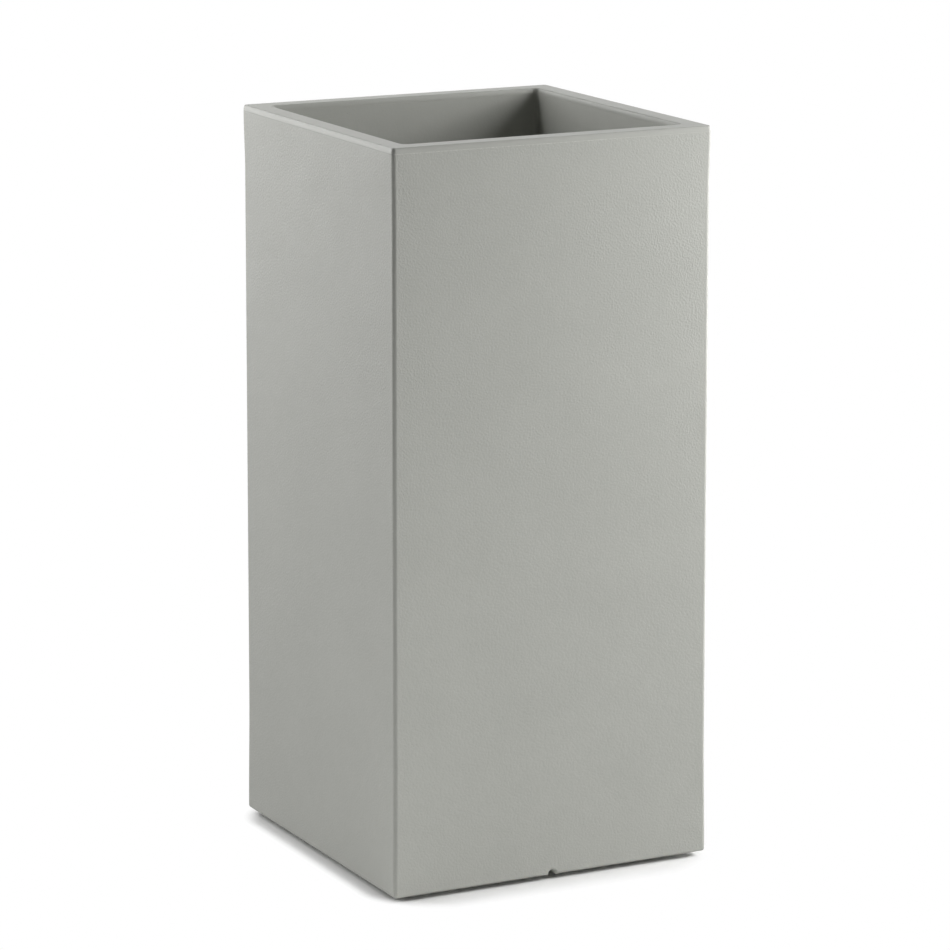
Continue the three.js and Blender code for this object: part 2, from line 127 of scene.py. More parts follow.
class Finish(Value):
    # one material: its tree, its shader, and the object's own coordinates
    def __init__(self, name):
        self.material = bpy.data.materials.new(name)
        self.material.use_nodes = True
        tree = self.material.node_tree
        tree.nodes.clear()
        super().__init__(tree, None)
        self.shader = self.node("ShaderNodeBsdfPrincipled")
        output = self.node("ShaderNodeOutputMaterial")
        tree.links.new(self.shader.outputs[0], output.inputs[0])
        self.place = Value(tree, self.node("ShaderNodeTexCoord").outputs["Object"])

    def constant(self, **values):
        for name, value in values.items():
            self.shader.inputs[name.replace("_", " ")].default_value = value

    def feed(self, name, value):
        self.tree.links.new(value.socket, self.shader.inputs[name])

    def noise(self, size, detail=2.0, roughness=0.5, place=None):
        # size is the width of one feature, in metres
        made = self.node("ShaderNodeTexNoise", Vector=place or self.place, Scale=1 / size,
                         Detail=detail, Roughness=roughness)
        return Value(self.tree, made.outputs["Fac"])

    def cells(self, size):
        made = self.node("ShaderNodeTexVoronoi", Vector=self.place, Scale=1 / size)
        return Value(self.tree, made.outputs["Distance"])

    def axis(self, index):
        made = self.node("ShaderNodeSeparateXYZ", Vector=self.place)
        return Value(self.tree, made.outputs[index])

    def stretched(self, x, y, z):
        made = self.node("ShaderNodeVectorMath", {"operation": "MULTIPLY"},
                         i0=self.place, i1=(x, y, z))
        return Value(self.tree, made.outputs[0])

    def mix(self, share, first, second):
        made = self.node("ShaderNodeMix", {"data_type": "RGBA"}, i0=share, i6=first, i7=second)
        return Value(self.tree, made.outputs[2])

    def bump(self, height, depth):
        # depth in metres is how far a height of 1 stands up
        made = self.node("ShaderNodeBump", Strength=1.0, Distance=depth, Height=height)
        return Value(self.tree, made.outputs[0])


def rgb(red, green, blue):
    # a written sRGB colour, 0 to 255, as the linear one that a shader takes
    def linear(channel):
        share = channel / 255
        return share / 12.92 if share <= 0.04045 else ((share + 0.055) / 1.055) ** 2.4

    return (linear(red), linear(green), linear(blue), 1.0)


planterGrey = {
    "paler": (176, 177, 171),
    "deeper": (168, 169, 163),
    "speck": (92, 92, 86),
}


def greyColour(finish, mottle=1.0):
    # the moulding's colour: very slight clouds, and a few tiny dark specks
    grey = planterGrey
    clouds = finish.noise(90 * mm, detail=3) * 0.6 + finish.noise(14 * mm, detail=2) * 0.4
    share = (clouds - 0.5) * (1.4 * mottle) + 0.5
    base = finish.mix(share, rgb(*grey["deeper"]), rgb(*grey["paler"]))
    spots = 1 - finish.cells(31 * mm).between(0.008, 0.016)
    seldom = finish.noise(60 * mm, detail=0).between(0.56, 0.6)
    return finish.mix(spots * seldom * 0.55, base, rgb(*grey["speck"]))


shellGrain = {
    "peel": 2.5 * mm,          # width of the orange peel's soft pits
    "tooth": 1.1 * mm,         # and of the finer tooth on them
    "peelShare": 0.8,
    "toothShare": 0.2,
    "depth": 0.42 * mm,
    "dust": 45 * mm,           # width of the patches that are a little duller
}


def makeGrainedShell():
    finish = Finish("grained_shell")
    finish.constant(IOR=1.48, Specular_IOR_Level=0.42)
    finish.feed("Base Color", greyColour(finish))
    dust = finish.noise(shellGrain["dust"], detail=3)
    finish.feed("Roughness", (dust - 0.5) * 0.12 + 0.56)
    peel = finish.noise(shellGrain["peel"], detail=1.5, roughness=0.45)
    tooth = finish.noise(shellGrain["tooth"], detail=1.0)
    height = peel * shellGrain["peelShare"] + tooth * shellGrain["toothShare"]
    finish.feed("Normal", finish.bump(height, shellGrain["depth"]))
    return finish.material


def makeSmoothShell():
    finish = Finish("smooth_shell")
    finish.constant(IOR=1.48, Specular_IOR_Level=0.45)
    finish.feed("Base Color", greyColour(finish, mottle=0.7))
    dust = finish.noise(shellGrain["dust"], detail=3)
    finish.feed("Roughness", (dust - 0.5) * 0.1 + 0.48)
    peel = finish.noise(3.4 * mm, detail=1.0, roughness=0.4)
    finish.feed("Normal", finish.bump(peel, 0.05 * mm))
    return finish.material


seamPaintedLight = {
    "front": (173, 174, 168),
    # the front dashes' pale colour is a painted highlight, and the sides' darker colour is painted
    # shade
    "frontHighlight": (189, 190, 184),
    "sides": (155, 156, 150),
    "frontEnds": (-197.4 * mm, -196.4 * mm),  # y over which the front's tint gives way
    "highlightFade": (20 * mm, 150 * mm),        # x over which the painted highlight's pale dashes grow faint
    "dash": 2.6 * mm,
}


def makeSeamPaintedLight():
    # the seam's colour: on the front a painted highlight in pale dashes, where the trimmed burr
    # catches the light from above, and round the other sides painted shade, darker, under the rim's
    # edge
    finish = Finish("seam_painted_light")
    finish.constant(IOR=1.48, Specular_IOR_Level=0.45, Roughness=0.5)
    onFront = 1 - finish.axis(1).between(*seamPaintedLight["frontEnds"])
    leftward = 1 - finish.axis(0).between(*seamPaintedLight["highlightFade"]) * 0.7
    highlightDashes = finish.noise(seamPaintedLight["dash"], detail=1).between(0.36, 0.62) * 0.8 + 0.2
    tintOrShade = finish.mix(onFront, rgb(*seamPaintedLight["sides"]), rgb(*seamPaintedLight["front"]))
    # the pale dashes are a painted highlight
    pale = rgb(*seamPaintedLight["frontHighlight"])
    finish.feed("Base Color", finish.mix(onFront * leftward * highlightDashes, tintOrShade, pale))
    return finish.material


def makeLinerShell():
    finish = Finish("liner_shell")
    finish.constant(IOR=1.48, Specular_IOR_Level=0.42)
    finish.feed("Base Color", greyColour(finish))
    dust = finish.noise(shellGrain["dust"], detail=3)
    finish.feed("Roughness", (dust - 0.5) * 0.12 + 0.54)
    peel = finish.noise(3.2 * mm, detail=1.5, roughness=0.45)
    finish.feed("Normal", finish.bump(peel, 0.12 * mm))
    return finish.material


def makeDarkPlastic():
    finish = Finish("dark_plastic")
    finish.constant(IOR=1.47, Specular_IOR_Level=0.45)
    clouds = finish.noise(30 * mm, detail=4)
    scratches = finish.noise(9 * mm, detail=5, place=finish.stretched(1, 0.15, 1))
    scuffs = scratches.between(0.58, 0.72)
    base = finish.mix(clouds, rgb(54, 56, 55), rgb(66, 68, 66))
    finish.feed("Base Color", finish.mix(scuffs * 0.25, base, rgb(96, 98, 95)))
    finish.feed("Roughness", scuffs * 0.12 + 0.5)
    grain = finish.noise(0.8 * mm, detail=2)
    finish.feed("Normal", finish.bump(grain, 0.05 * mm))
    return finish.material


def makeBlackPlastic():
    finish = Finish("black_plastic")
    finish.constant(IOR=1.47, Specular_IOR_Level=0.5)
    clouds = finish.noise(12 * mm, detail=3)
    finish.feed("Base Color", finish.mix(clouds, rgb(28, 29, 29), rgb(38, 39, 39)))
    finish.feed("Roughness", clouds * 0.15 + 0.36)
    grain = finish.noise(0.6 * mm, detail=2)
    finish.feed("Normal", finish.bump(grain, 0.03 * mm))
    return finish.material


def makeRubber():
    finish = Finish("rubber")
    finish.constant(IOR=1.5, Specular_IOR_Level=0.3)
    clouds = finish.noise(8 * mm, detail=4)
    dust = finish.noise(3 * mm, detail=5).between(0.5, 0.75)
    base = finish.mix(clouds, rgb(24, 24, 24), rgb(34, 34, 33))
    finish.feed("Base Color", finish.mix(dust * 0.2, base, rgb(88, 86, 80)))
    finish.feed("Roughness", dust * 0.1 + 0.78)
    grain = finish.noise(0.5 * mm, detail=3)
    finish.feed("Normal", finish.bump(grain, 0.05 * mm))
    return finish.material


def makeSteel():
    finish = Finish("steel")
    finish.constant(Metallic=1.0)
    streaks = finish.noise(0.6 * mm, detail=3, place=finish.stretched(1, 1, 0.1))
    finish.feed("Base Color", finish.mix(streaks, rgb(176, 178, 181), rgb(204, 206, 208)))
    finish.feed("Roughness", streaks * 0.15 + 0.26)
    finish.feed("Normal", finish.bump(streaks, 0.01 * mm))
    return finish.material


materials = {
    "grained_shell": makeGrainedShell(),
    "smooth_shell": makeSmoothShell(),
    "seam_painted_light": makeSeamPaintedLight(),
    "liner_shell": makeLinerShell(),
    "dark_plastic": makeDarkPlastic(),
    "black_plastic": makeBlackPlastic(),
    "rubber": makeRubber(),
    "steel": makeSteel(),
}
print("materials made:", len(materials))


# Meshes. Everything is drawn in place, in metres.

cornerSteps = 10
cornerWays = [(1, 1), (-1, 1), (-1, -1), (1, -1)]


def outlinePoint(index, half, corner, z):
    # one point of a square outline with round corners, counted counter-clockwise
    quarter, step = divmod(index, cornerSteps + 1)
    turn = (quarter + step / cornerSteps) * pi / 2
    wayX, wayY = cornerWays[quarter]
    middle = half - corner
    return Vector((wayX * middle + corner * cos(turn), wayY * middle + corner * sin(turn), z))


def sweepSquare(profile, closed=True):
    # carries (half width, corner radius, height) points round the square outline
    bm = bmesh.new()
    count = 4 * (cornerSteps + 1)
    place = bm.verts.layers.int.new("place")
    verts = bmesh.ops.create_circle(bm, segments=count, radius=1)["verts"]
    for index, vert in enumerate(verts):
        vert[place] = index
        vert.co = outlinePoint(index, *profile[0])
    edges = bm.edges[:]
    for point in profile[1:] + profile[:1] * closed:
        made = bmesh.ops.extrude_edge_only(bm, edges=edges)["geom"]
        fresh = {item for item in made if isinstance(item, bmesh.types.BMVert)}
        edges = [item for item in made
                 if isinstance(item, bmesh.types.BMEdge) and fresh.issuperset(item.verts)]
        for vert in fresh:
            vert.co = outlinePoint(vert[place], *point)
    bmesh.ops.remove_doubles(bm, verts=bm.verts, dist=weld)
    return bm


def arc(x, z, radiusX, radiusZ, start, end, steps=8):
    # points of a rounded edge, its ends given in quarter turns
    turns = [(start + (end - start) * i / steps) * pi / 2 for i in range(steps + 1)]
    return [(x + radiusX * cos(t), z + radiusZ * sin(t)) for t in turns]


def spinProfile(points, steps=64):
    # turns a closed profile of (radius, height) points about the upright axis
    bm = bmesh.new()
    verts = [bm.verts.new((radius, 0, z)) for radius, z in points]
    ends = verts[1:] if points[0][0] == 0 else verts[1:] + verts[:1]
    edges = [bm.edges.new(pair) for pair in zip(verts, ends)]
    bmesh.ops.spin(bm, geom=verts + edges, axis=(0, 0, 1), cent=(0, 0, 0), angle=2 * pi,
                   steps=steps, use_merge=True)
    bmesh.ops.remove_doubles(bm, verts=bm.verts, dist=weld)
    return bm


def block(size, centre):
    bm = bmesh.new()
    verts = bmesh.ops.create_cube(bm, size=1)["verts"]
    bmesh.ops.scale(bm, vec=size, verts=verts)
    bmesh.ops.translate(bm, vec=centre, verts=verts)
    return bm


def rod(radius, low, high, steps=32):
    bm = bmesh.new()
    made = bmesh.ops.create_cone(bm, cap_ends=True, segments=steps, radius1=radius,
                                 radius2=radius, depth=high - low)
    bmesh.ops.translate(bm, vec=(0, 0, (low + high) / 2), verts=made["verts"])
    return bm


def moved(bm, x, y, z=0.0):
    bmesh.ops.translate(bm, vec=(x, y, z), verts=bm.verts)
    return bm


def rotated(bm, turn, axis):
    bmesh.ops.rotate(bm, verts=bm.verts, cent=(0, 0, 0), matrix=Matrix.Rotation(turn, 3, axis))
    return bm


def soften(bm, width, sharper=40, segments=2):
    edges = [edge for edge in bm.edges
             if edge.is_manifold and edge.calc_face_angle(0) > radians(sharper)]
    bmesh.ops.bevel(bm, geom=edges, offset=width, segments=segments, profile=0.5,
                    affect="EDGES", material=-1, clamp_overlap=True)
    return bm


def merge(*parts):
    # several bmeshes as one, each still its own closed shell
    whole = bmesh.new()
    for part in parts:
        mesh = bpy.data.meshes.new("part")
        part.to_mesh(mesh)
        part.free()
        whole.from_mesh(mesh)
        bpy.data.meshes.remove(mesh)
    return whole


def asObject(name, bm):
    bmesh.ops.recalc_face_normals(bm, faces=bm.faces)
    mesh = bpy.data.meshes.new(name)
    bm.to_mesh(mesh)
    bm.free()
    made = bpy.data.objects.new(name, mesh)
    bpy.context.scene.collection.objects.link(made)
    return made


def combine(bm, *steps):
    # joins or cuts closed shapes: each step is ("UNION" or "DIFFERENCE", bmesh)
    piece = asObject("combined", bm)
    for operation, other in steps:
        tool = asObject("tool", other)
        change = piece.modifiers.new("change", "BOOLEAN")
        change.operation = operation
        change.solver = "EXACT"
        change.object = tool
        graph = bpy.context.evaluated_depsgraph_get()
        result = bpy.data.meshes.new_from_object(piece.evaluated_get(graph))
        piece.modifiers.clear()
        piece.data = result
        bpy.data.objects.remove(tool)
    combined = bmesh.new()
    combined.from_mesh(piece.data)
    bpy.data.objects.remove(piece)
    bmesh.ops.remove_doubles(combined, verts=combined.verts, dist=fineWeld)
    bmesh.ops.dissolve_degenerate(combined, edges=combined.edges, dist=fineWeld)
    return combined


def finishPiece(name, bm, material, standsFor=(), rides="planter"):
    piece = asObject(name, bm)
    for polygon in piece.data.polygons:
        polygon.use_smooth = True
    piece.data.set_sharp_from_angle(angle=radians(50))
    normals = piece.modifiers.new("normals", "WEIGHTED_NORMAL")
    normals.mode = "FACE_AREA"
    normals.weight = 100
    normals.keep_sharp = True
    piece.data.materials.append(materials[material])
    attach(piece, rides)
    if standsFor:
        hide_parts(*standsFor)


def eased(share):
    share = min(max(share, 0.0), 1.0)
    return share * share * (3 - 2 * share)


# The outer shell

shell = {
    "wall": 3.5 * mm,
    "corner": 4.4 * mm,
    "leastCorner": 1 * mm,
    "footRound": 3.5 * mm,
    "sink": 1 * mm,            # how far the walls sink in between their stiff ends
    "stiffTop": 70 * mm,       # the height over which the sink fades out at the top
    "stiffFoot": 140 * mm,     # and at the foot
    "bottomFlange": 52 * mm,
    "topFlange": 9.5 * mm,
    "edge": 0.35 * mm,         # the small round on the edge at the seam
    "channelRadius": 4.5 * mm,
    "channelCentre": 1 * mm,   # above the underside
    "channelFlare": 3 * mm,
    "flareDepth": 5 * mm,
    "channelOvercut": 5 * mm,
    "channelCutter": 40 * mm,  # size of the block that cuts the hood level with the underside
    "footSpot": 166 * mm,      # x and y of each foot
    "screwHole": 3.5 * mm,
}


def wallHalf(z):
    rise = (z - body["foot"]) / (body["seam"] - body["foot"])
    lean = (body["footHalf"] - body["topHalf"]) * rise
    sunk = min(eased((z - body["foot"]) / shell["stiffFoot"]),
               eased((body["seam"] - z) / shell["stiffTop"]))
    return body["footHalf"] - lean - shell["sink"] * sunk


def shellCorner(half, outer):
    # the corners' radius at a half width, where the outside face is at outer
    return max(shell["leastCorner"], shell["corner"] - (outer - half))


footSpots = {
    "front_left": (-shell["footSpot"], -shell["footSpot"]),
    "front_right": (shell["footSpot"], -shell["footSpot"]),
    "back_right": (shell["footSpot"], shell["footSpot"]),
    "back_left": (-shell["footSpot"], shell["footSpot"]),
}


def footHoles(low, high):
    return merge(*[moved(rod(shell["screwHole"], low - overcut, high + overcut), *spot)
                   for spot in footSpots.values()])


def outerShell():
    foot, seam, wall, edge = body["foot"], body["seam"], shell["wall"], shell["edge"]
    footRound, stiffFoot, stiffTop = shell["footRound"], shell["stiffFoot"], shell["stiffTop"]
    steps = 10
    rising = range(steps + 1)
    heights = [foot + footRound + (stiffFoot - footRound) * i / steps for i in rising]
    heights += [seam - stiffTop + (stiffTop - edge) * i / steps for i in rising]
    flangeHalf = body["footHalf"] - shell["bottomFlange"]
    footHalf = wallHalf(foot + footRound) - footRound
    outside = [(flangeHalf, foot)]
    outside += arc(footHalf, foot + footRound, footRound, footRound, -1, 0)
    outside += [(wallHalf(z), z) for z in heights[1:]]
    outside += arc(wallHalf(seam) - edge, seam - edge, edge, edge, 0, 1, steps=3)[1:]
    topFlangeHalf = body["topHalf"] - shell["topFlange"]
    inside = [(topFlangeHalf, seam), (topFlangeHalf, seam - wall),
              (body["topHalf"] - wall, seam - wall)]
    inside += [(wallHalf(z) - wall, z) for z in reversed(heights[1:-1])]
    inside += [(body["footHalf"] - wall, foot + wall), (flangeHalf, foot + wall)]
    walls = sweepSquare([(half, shellCorner(half, wallHalf(z)), z) for half, z in outside + inside])

    # the drain channel: a half-round groove through the flange, flared where it meets the front
    channelZ = foot + shell["channelCentre"]
    radius = shell["channelRadius"]
    front = body["footHalf"]
    tube = rod(radius + wall, flangeHalf, front - wall / 2)
    below = shell["channelCutter"]
    under = block((below, 2 * front, below), (0, 0, foot - below / 2))
    flareRadius, flareDepth = shell["channelFlare"], shell["flareDepth"]
    start, end = flangeHalf - shell["channelOvercut"], front + shell["channelOvercut"]
    flare = arc(radius + flareRadius, front - flareDepth, flareRadius, flareDepth, 2, 1, steps=10)
    groove = spinProfile([(0, start), (radius, start)] + flare
                         + [(radius + flareRadius, end), (0, end)])
    for part in (tube, groove):
        # from upright to lying along the front's middle, pointing to -Y
        moved(rotated(part, pi / 2, "X"), 0, 0, channelZ)
    hood = combine(tube, ("DIFFERENCE", under))
    bm = combine(walls, ("UNION", hood), ("DIFFERENCE", groove),
                 ("DIFFERENCE", footHoles(foot, foot + wall)))
    finishPiece("shell_outer", bm, "grained_shell", ["outer_shell"])


outerShell()
print("outer shell done")


# The rim frame: a flat cap with rounded edges, and a tongue that sits between the flanges below it

rim = {
    "outerEase": 2 * mm,       # how far the outer face curves in on its way up
    "innerEase": 2.2 * mm,     # and how far the inner one does
    "innerRise": 6.4 * mm,
    "openingCorner": 6 * mm,
    "flange": shell["topFlange"],  # of the shell and of the liner, on either side of the tongue
    "seamEdge": 0.2 * mm,      # the small round where the outer face starts
    "seat": 0.06 * mm,         # the inner edge's height above the seam
    "tongueGap": 0.5 * mm,
    "tongueDepth": 8 * mm,
}


def openingCorner(half):
    return rim["openingCorner"] + half - body["opening"]


def rimFrame():
    bottom = body["seam"] + body["gap"]
    outer, opening, top = body["topHalf"], body["opening"], body["top"]
    ease, start = rim["outerEase"], bottom + rim["seamEdge"]
    outside = [(outer - rim["seamEdge"], bottom)]
    outside += arc(outer - ease, start, ease, top - start, 0, 1, steps=24)
    profile = [(half, shellCorner(half, outer), z) for half, z in outside]
    inner, rise = rim["innerEase"], rim["innerRise"]
    inside = arc(opening + inner, top - rise, inner, rise, 1, 2, steps=14)
    tongueInner = opening + rim["flange"] + rim["tongueGap"]
    tongueOuter = outer - rim["flange"] - rim["tongueGap"]
    tongueFoot, seat = body["seam"] - rim["tongueDepth"], body["seam"] + rim["seat"]
    inside += [(opening, seat), (tongueInner, seat), (tongueInner, tongueFoot),
               (tongueOuter, tongueFoot), (tongueOuter, bottom)]
    profile += [(half, openingCorner(half), z) for half, z in inside]
    finishPiece("frame_rim", sweepSquare(profile), "smooth_shell", ["rim_frame"])


rimFrame()


# The seam under the rim: a thin uneven ridge where the mouldings meet, mostly on the front

seamRidge = {
    "proud": 0.15 * mm,        # how far it stands out at most
    "faint": 0.05 * mm,        # and everywhere along the front
    "height": 1.4 * mm,
    "sunk": 0.12 * mm,         # how deep its edges lie in the wall
    "step": 1.2 * mm,          # between the points that make it uneven
    "patch": 9 * mm,           # length of one stretch of it
    "frontShare": 0.03,        # share of the half width that counts as the front
    "fadeEnd": 120 * mm,       # x where it is weakest on the front
    "fadeWidth": 300 * mm,
    "weakest": 0.35,
    "onSides": 0.12,
}


def ridgeHeight(place):
    # how far the ridge stands out of the wall at a place along it
    coarse = noise.noise(place / seamRidge["patch"])
    fine = noise.noise(place / (seamRidge["patch"] / 5) + Vector((7, 3, 1)))
    share = eased((0.7 * coarse + 0.5 * fine + 0.12) / 0.5)
    half, front, weakest = body["topHalf"], seamRidge["frontShare"], seamRidge["weakest"]
    onFront = eased((-place.y - half * (1 - front)) / (half * front))
    towardsLeft = eased((seamRidge["fadeEnd"] - place.x) / seamRidge["fadeWidth"])
    strength = (weakest + (1 - weakest) * towardsLeft) * onFront
    strength += seamRidge["onSides"] * (1 - onFront)
    return seamRidge["faint"] * onFront + seamRidge["proud"] * share * strength


def seamBead():
    outer, z = body["topHalf"], body["seam"] + body["gap"] / 2
    sunk, tall = seamRidge["sunk"], seamRidge["height"] / 2
    # its rows of points: out from the wall, up from the seam, and the share of the ridge's height
    rows = [(-sunk, -tall, 0), (0, -0.55 * tall, 0.6), (0, 0, 1), (0, 0.55 * tall, 0.7),
            (-sunk, tall, 0)]
    bm = sweepSquare([(outer + out, shell["corner"], z + rise) for out, rise, _ in rows])
    along = [edge for edge in bm.edges if edge.calc_length() > 4 * seamRidge["step"]]
    cuts = int(2 * outer / seamRidge["step"])
    bmesh.ops.subdivide_edges(bm, edges=along, cuts=cuts, use_grid_fill=True)
    middle = outer - shell["corner"]
    for vert in bm.verts:
        row = min(rows, key=lambda each: abs(each[1] - (vert.co.z - z)))
        flat = Vector((vert.co.x, vert.co.y, 0))
        away = Vector([reach - min(max(reach, -middle), middle) for reach in flat])
        vert.co += away.normalized() * row[2] * ridgeHeight(flat)
    # its colour is painted light: highlight on the front, shade round the sides
    finishPiece("bead_seam", bm, "seam_painted_light")


seamBead()
print("rim and seam done")


# The inner liner and the pan under it, whose floors fall together to a sump

floors = {
    "draft": 11 * mm,          # how much nearer the centre the liner's walls are at the floor
    "round": 12 * mm,          # between the liner's walls and its floor
    "fall": 4 * mm,
    "sumpHalf": 40 * mm,
    "sumpDepth": 5 * mm,
    "sumpSlope": 4 * mm,
    "linerWall": 3 * mm,
    "panWall": 3 * mm,
    "panSumpTop": 26.8 * mm,
    "tailHole": 17.5 * mm,     # radius of the hole for the drain fitting
    "corner": 6 * mm,
    "flare": 5 * mm,           # how far the walls spread above the shelf, to meet the rim
    "flareFoot": 480 * mm,
    "topChamfer": 0.12 * mm,
}
floors["edge"] = body["opening"] - floors["flare"] - floors["draft"] - floors["round"]
floors["linerSumpTop"] = floors["panSumpTop"] + body["gap"] + floors["linerWall"]


def floorRise(half):
    # how far a floor has risen above its sump at a half width
    slopeStart = floors["sumpHalf"] + floors["sumpSlope"]
    share = (half - slopeStart) / (floors["edge"] - slopeStart)
    return floors["sumpDepth"] + floors["fall"] * share


floors["linerTop"] = floors["linerSumpTop"] + floorRise(floors["edge"])


def linerHalf(z):
    # half the width inside the liner's walls at a height
    seam, flareFoot = body["seam"], floors["flareFoot"]
    bendTop = floors["linerTop"] + floors["round"]
    straight = body["opening"] - floors["flare"] - floors["draft"] * (seam - z) / (seam - bendTop)
    return straight + floors["flare"] * max(0, (z - flareFoot) / (seam - flareFoot))


def tailHole(low, high):
    return rod(floors["tailHole"], low - overcut, high + overcut, steps=64)


def innerLiner():
    wall, corner, seam = floors["linerWall"], floors["corner"], body["seam"]
    bottom, edge, bend = floors["linerSumpTop"], floors["edge"], floors["round"]
    bendTop = floors["linerTop"] + bend

    def floorAt(out):
        sump, slope = floors["sumpHalf"], floors["sumpHalf"] + floors["sumpSlope"]
        return [(0, bottom - out), (sump, bottom - out), (slope, bottom + floorRise(slope) - out)]

    outside = floorAt(wall) + arc(edge, bendTop, bend + wall, bend + wall, -1, 0, steps=10)[:-1]
    outside += [(edge + bend + wall, bendTop)]
    flangeHalf = body["opening"] + rim["flange"]
    chamfer = floors["topChamfer"]
    flange = [(body["opening"] + wall, seam - wall), (flangeHalf, seam - wall), (flangeHalf, seam),
              (body["opening"] + chamfer, seam), (body["opening"], seam - chamfer)]
    walls = [(linerHalf(seam * share), seam * share) for share in (0.9, 0.75, 0.6, 0.45, 0.3, 0.15)]
    inside = walls + [(edge + bend, bendTop)] + arc(edge, bendTop, bend, bend, 0, -1, steps=10)[1:]
    inside += floorAt(0)[::-1]
    profile = [(half, corner + wall if half else 0, z) for half, z in outside]
    profile += [(half, openingCorner(half), z) for half, z in flange]
    profile += [(half, corner if half else 0, z) for half, z in inside]
    bm = combine(sweepSquare(profile, closed=False),
                 ("DIFFERENCE", tailHole(bottom - wall, bottom)))
    finishPiece("liner_inner", bm, "liner_shell", ["inner_liner"])


innerLiner()

pan = {
    "half": 195.7 * mm,
    "foot": 9.8 * mm,
    "riserFoot": 142 * mm,     # half width where the riser starts
    "plateau": 136 * mm,       # and where it ends
    "roomHalf": 9 * mm,        # the notch that clears the channel's hood
    "roomEnd": 147 * mm,
    "roomCutter": 60 * mm,     # length of the block that cuts it
}


def basePan():
    wall, foot, bottom = floors["panWall"], pan["foot"], floors["panSumpTop"]
    sump, slope = floors["sumpHalf"], floors["sumpHalf"] + floors["sumpSlope"]
    plateau = pan["plateau"]
    lower = [(0, bottom - wall), (sump, bottom - wall), (slope, bottom + floorRise(slope) - wall),
             (plateau - wall, bottom + floorRise(plateau - wall) - wall), (pan["riserFoot"], foot),
             (pan["half"], foot)]
    upper = [(pan["half"], foot + wall), (pan["riserFoot"] + wall, foot + wall),
             (plateau, bottom + floorRise(plateau)), (slope, bottom + floorRise(slope)),
             (sump, bottom), (0, bottom)]
    profile = [(half, floors["corner"] if half else 0, z) for half, z in lower + upper]
    length = pan["roomCutter"]
    room = block((2 * pan["roomHalf"], length, 3 * wall),
                 (0, -pan["roomEnd"] - length / 2, foot + wall / 2))
    bm = combine(sweepSquare(profile, closed=False), ("DIFFERENCE", room),
                 ("DIFFERENCE", tailHole(bottom - wall, bottom)),
                 ("DIFFERENCE", footHoles(foot, foot + wall)))
    finishPiece("pan_base", bm, "liner_shell", ["base_pan"])


basePan()
print("liner and pan done")


# The planting shelf and the four cleats that carry it

shelf = {
    "half": (shelfHigh[0] - shelfLow[0]) / 2,
    "bottom": shelfHigh[2] - 5 * mm,  # of the plate, which is 5 mm thick
    "top": shelfHigh[2],
    "ribFoot": shelfLow[2],
    "corner": 9 * mm,
    "edge": 1 * mm,            # radius of the plate's rounded edges
    "ribWidth": 3 * mm,
    "ribEdge": 0.5 * mm,
    "ribSunk": 1 * mm,         # how far the ribs reach into the plate
    "holeRadius": 4.5 * mm,
    "holeEdge": 0.7 * mm,      # radius of a hole's rounded rim
    "pitch": 55 * mm,          # between holes
    "across": 5,               # holes in a row
    "gripLength": 60 * mm,
    "gripWidth": 22 * mm,
    "gripInset": 28 * mm,
    "gripEdge": 1.4 * mm,
    "gripRoom": 2 * mm,        # kept clear round a grip slot
    "gripCutter": 40 * mm,
    "cleatWidth": 10 * mm,
    "cleatEdge": 6 * mm,       # height of its front face
    "cleatHeight": 18 * mm,    # and of its back, on the liner
    "cleatLength": 240 * mm,
    "cleatRound": 0.8 * mm,
    "ribClearance": 4 * mm,
}


def roundHoleCutter(radius, edge, low, high, stretch=0.0, steps=32):
    # a hole with rounded rims. A stretch pulls its two halves apart along Y into a slot.
    profile = [(0, low - overcut), (radius + edge, low - overcut)]
    profile += arc(radius + edge, low + edge, edge, edge, 3, 2, steps=4)
    profile += arc(radius + edge, high - edge, edge, edge, 2, 1, steps=4)
    profile += [(radius + edge, high + overcut), (0, high + overcut)]
    bm = rotated(spinProfile(profile, steps=steps), pi / steps, "Z")
    for vert in bm.verts:
        if stretch and abs(vert.co.y) > 1e-6:
            vert.co.y += stretch if vert.co.y > 0 else -stretch
    return bm


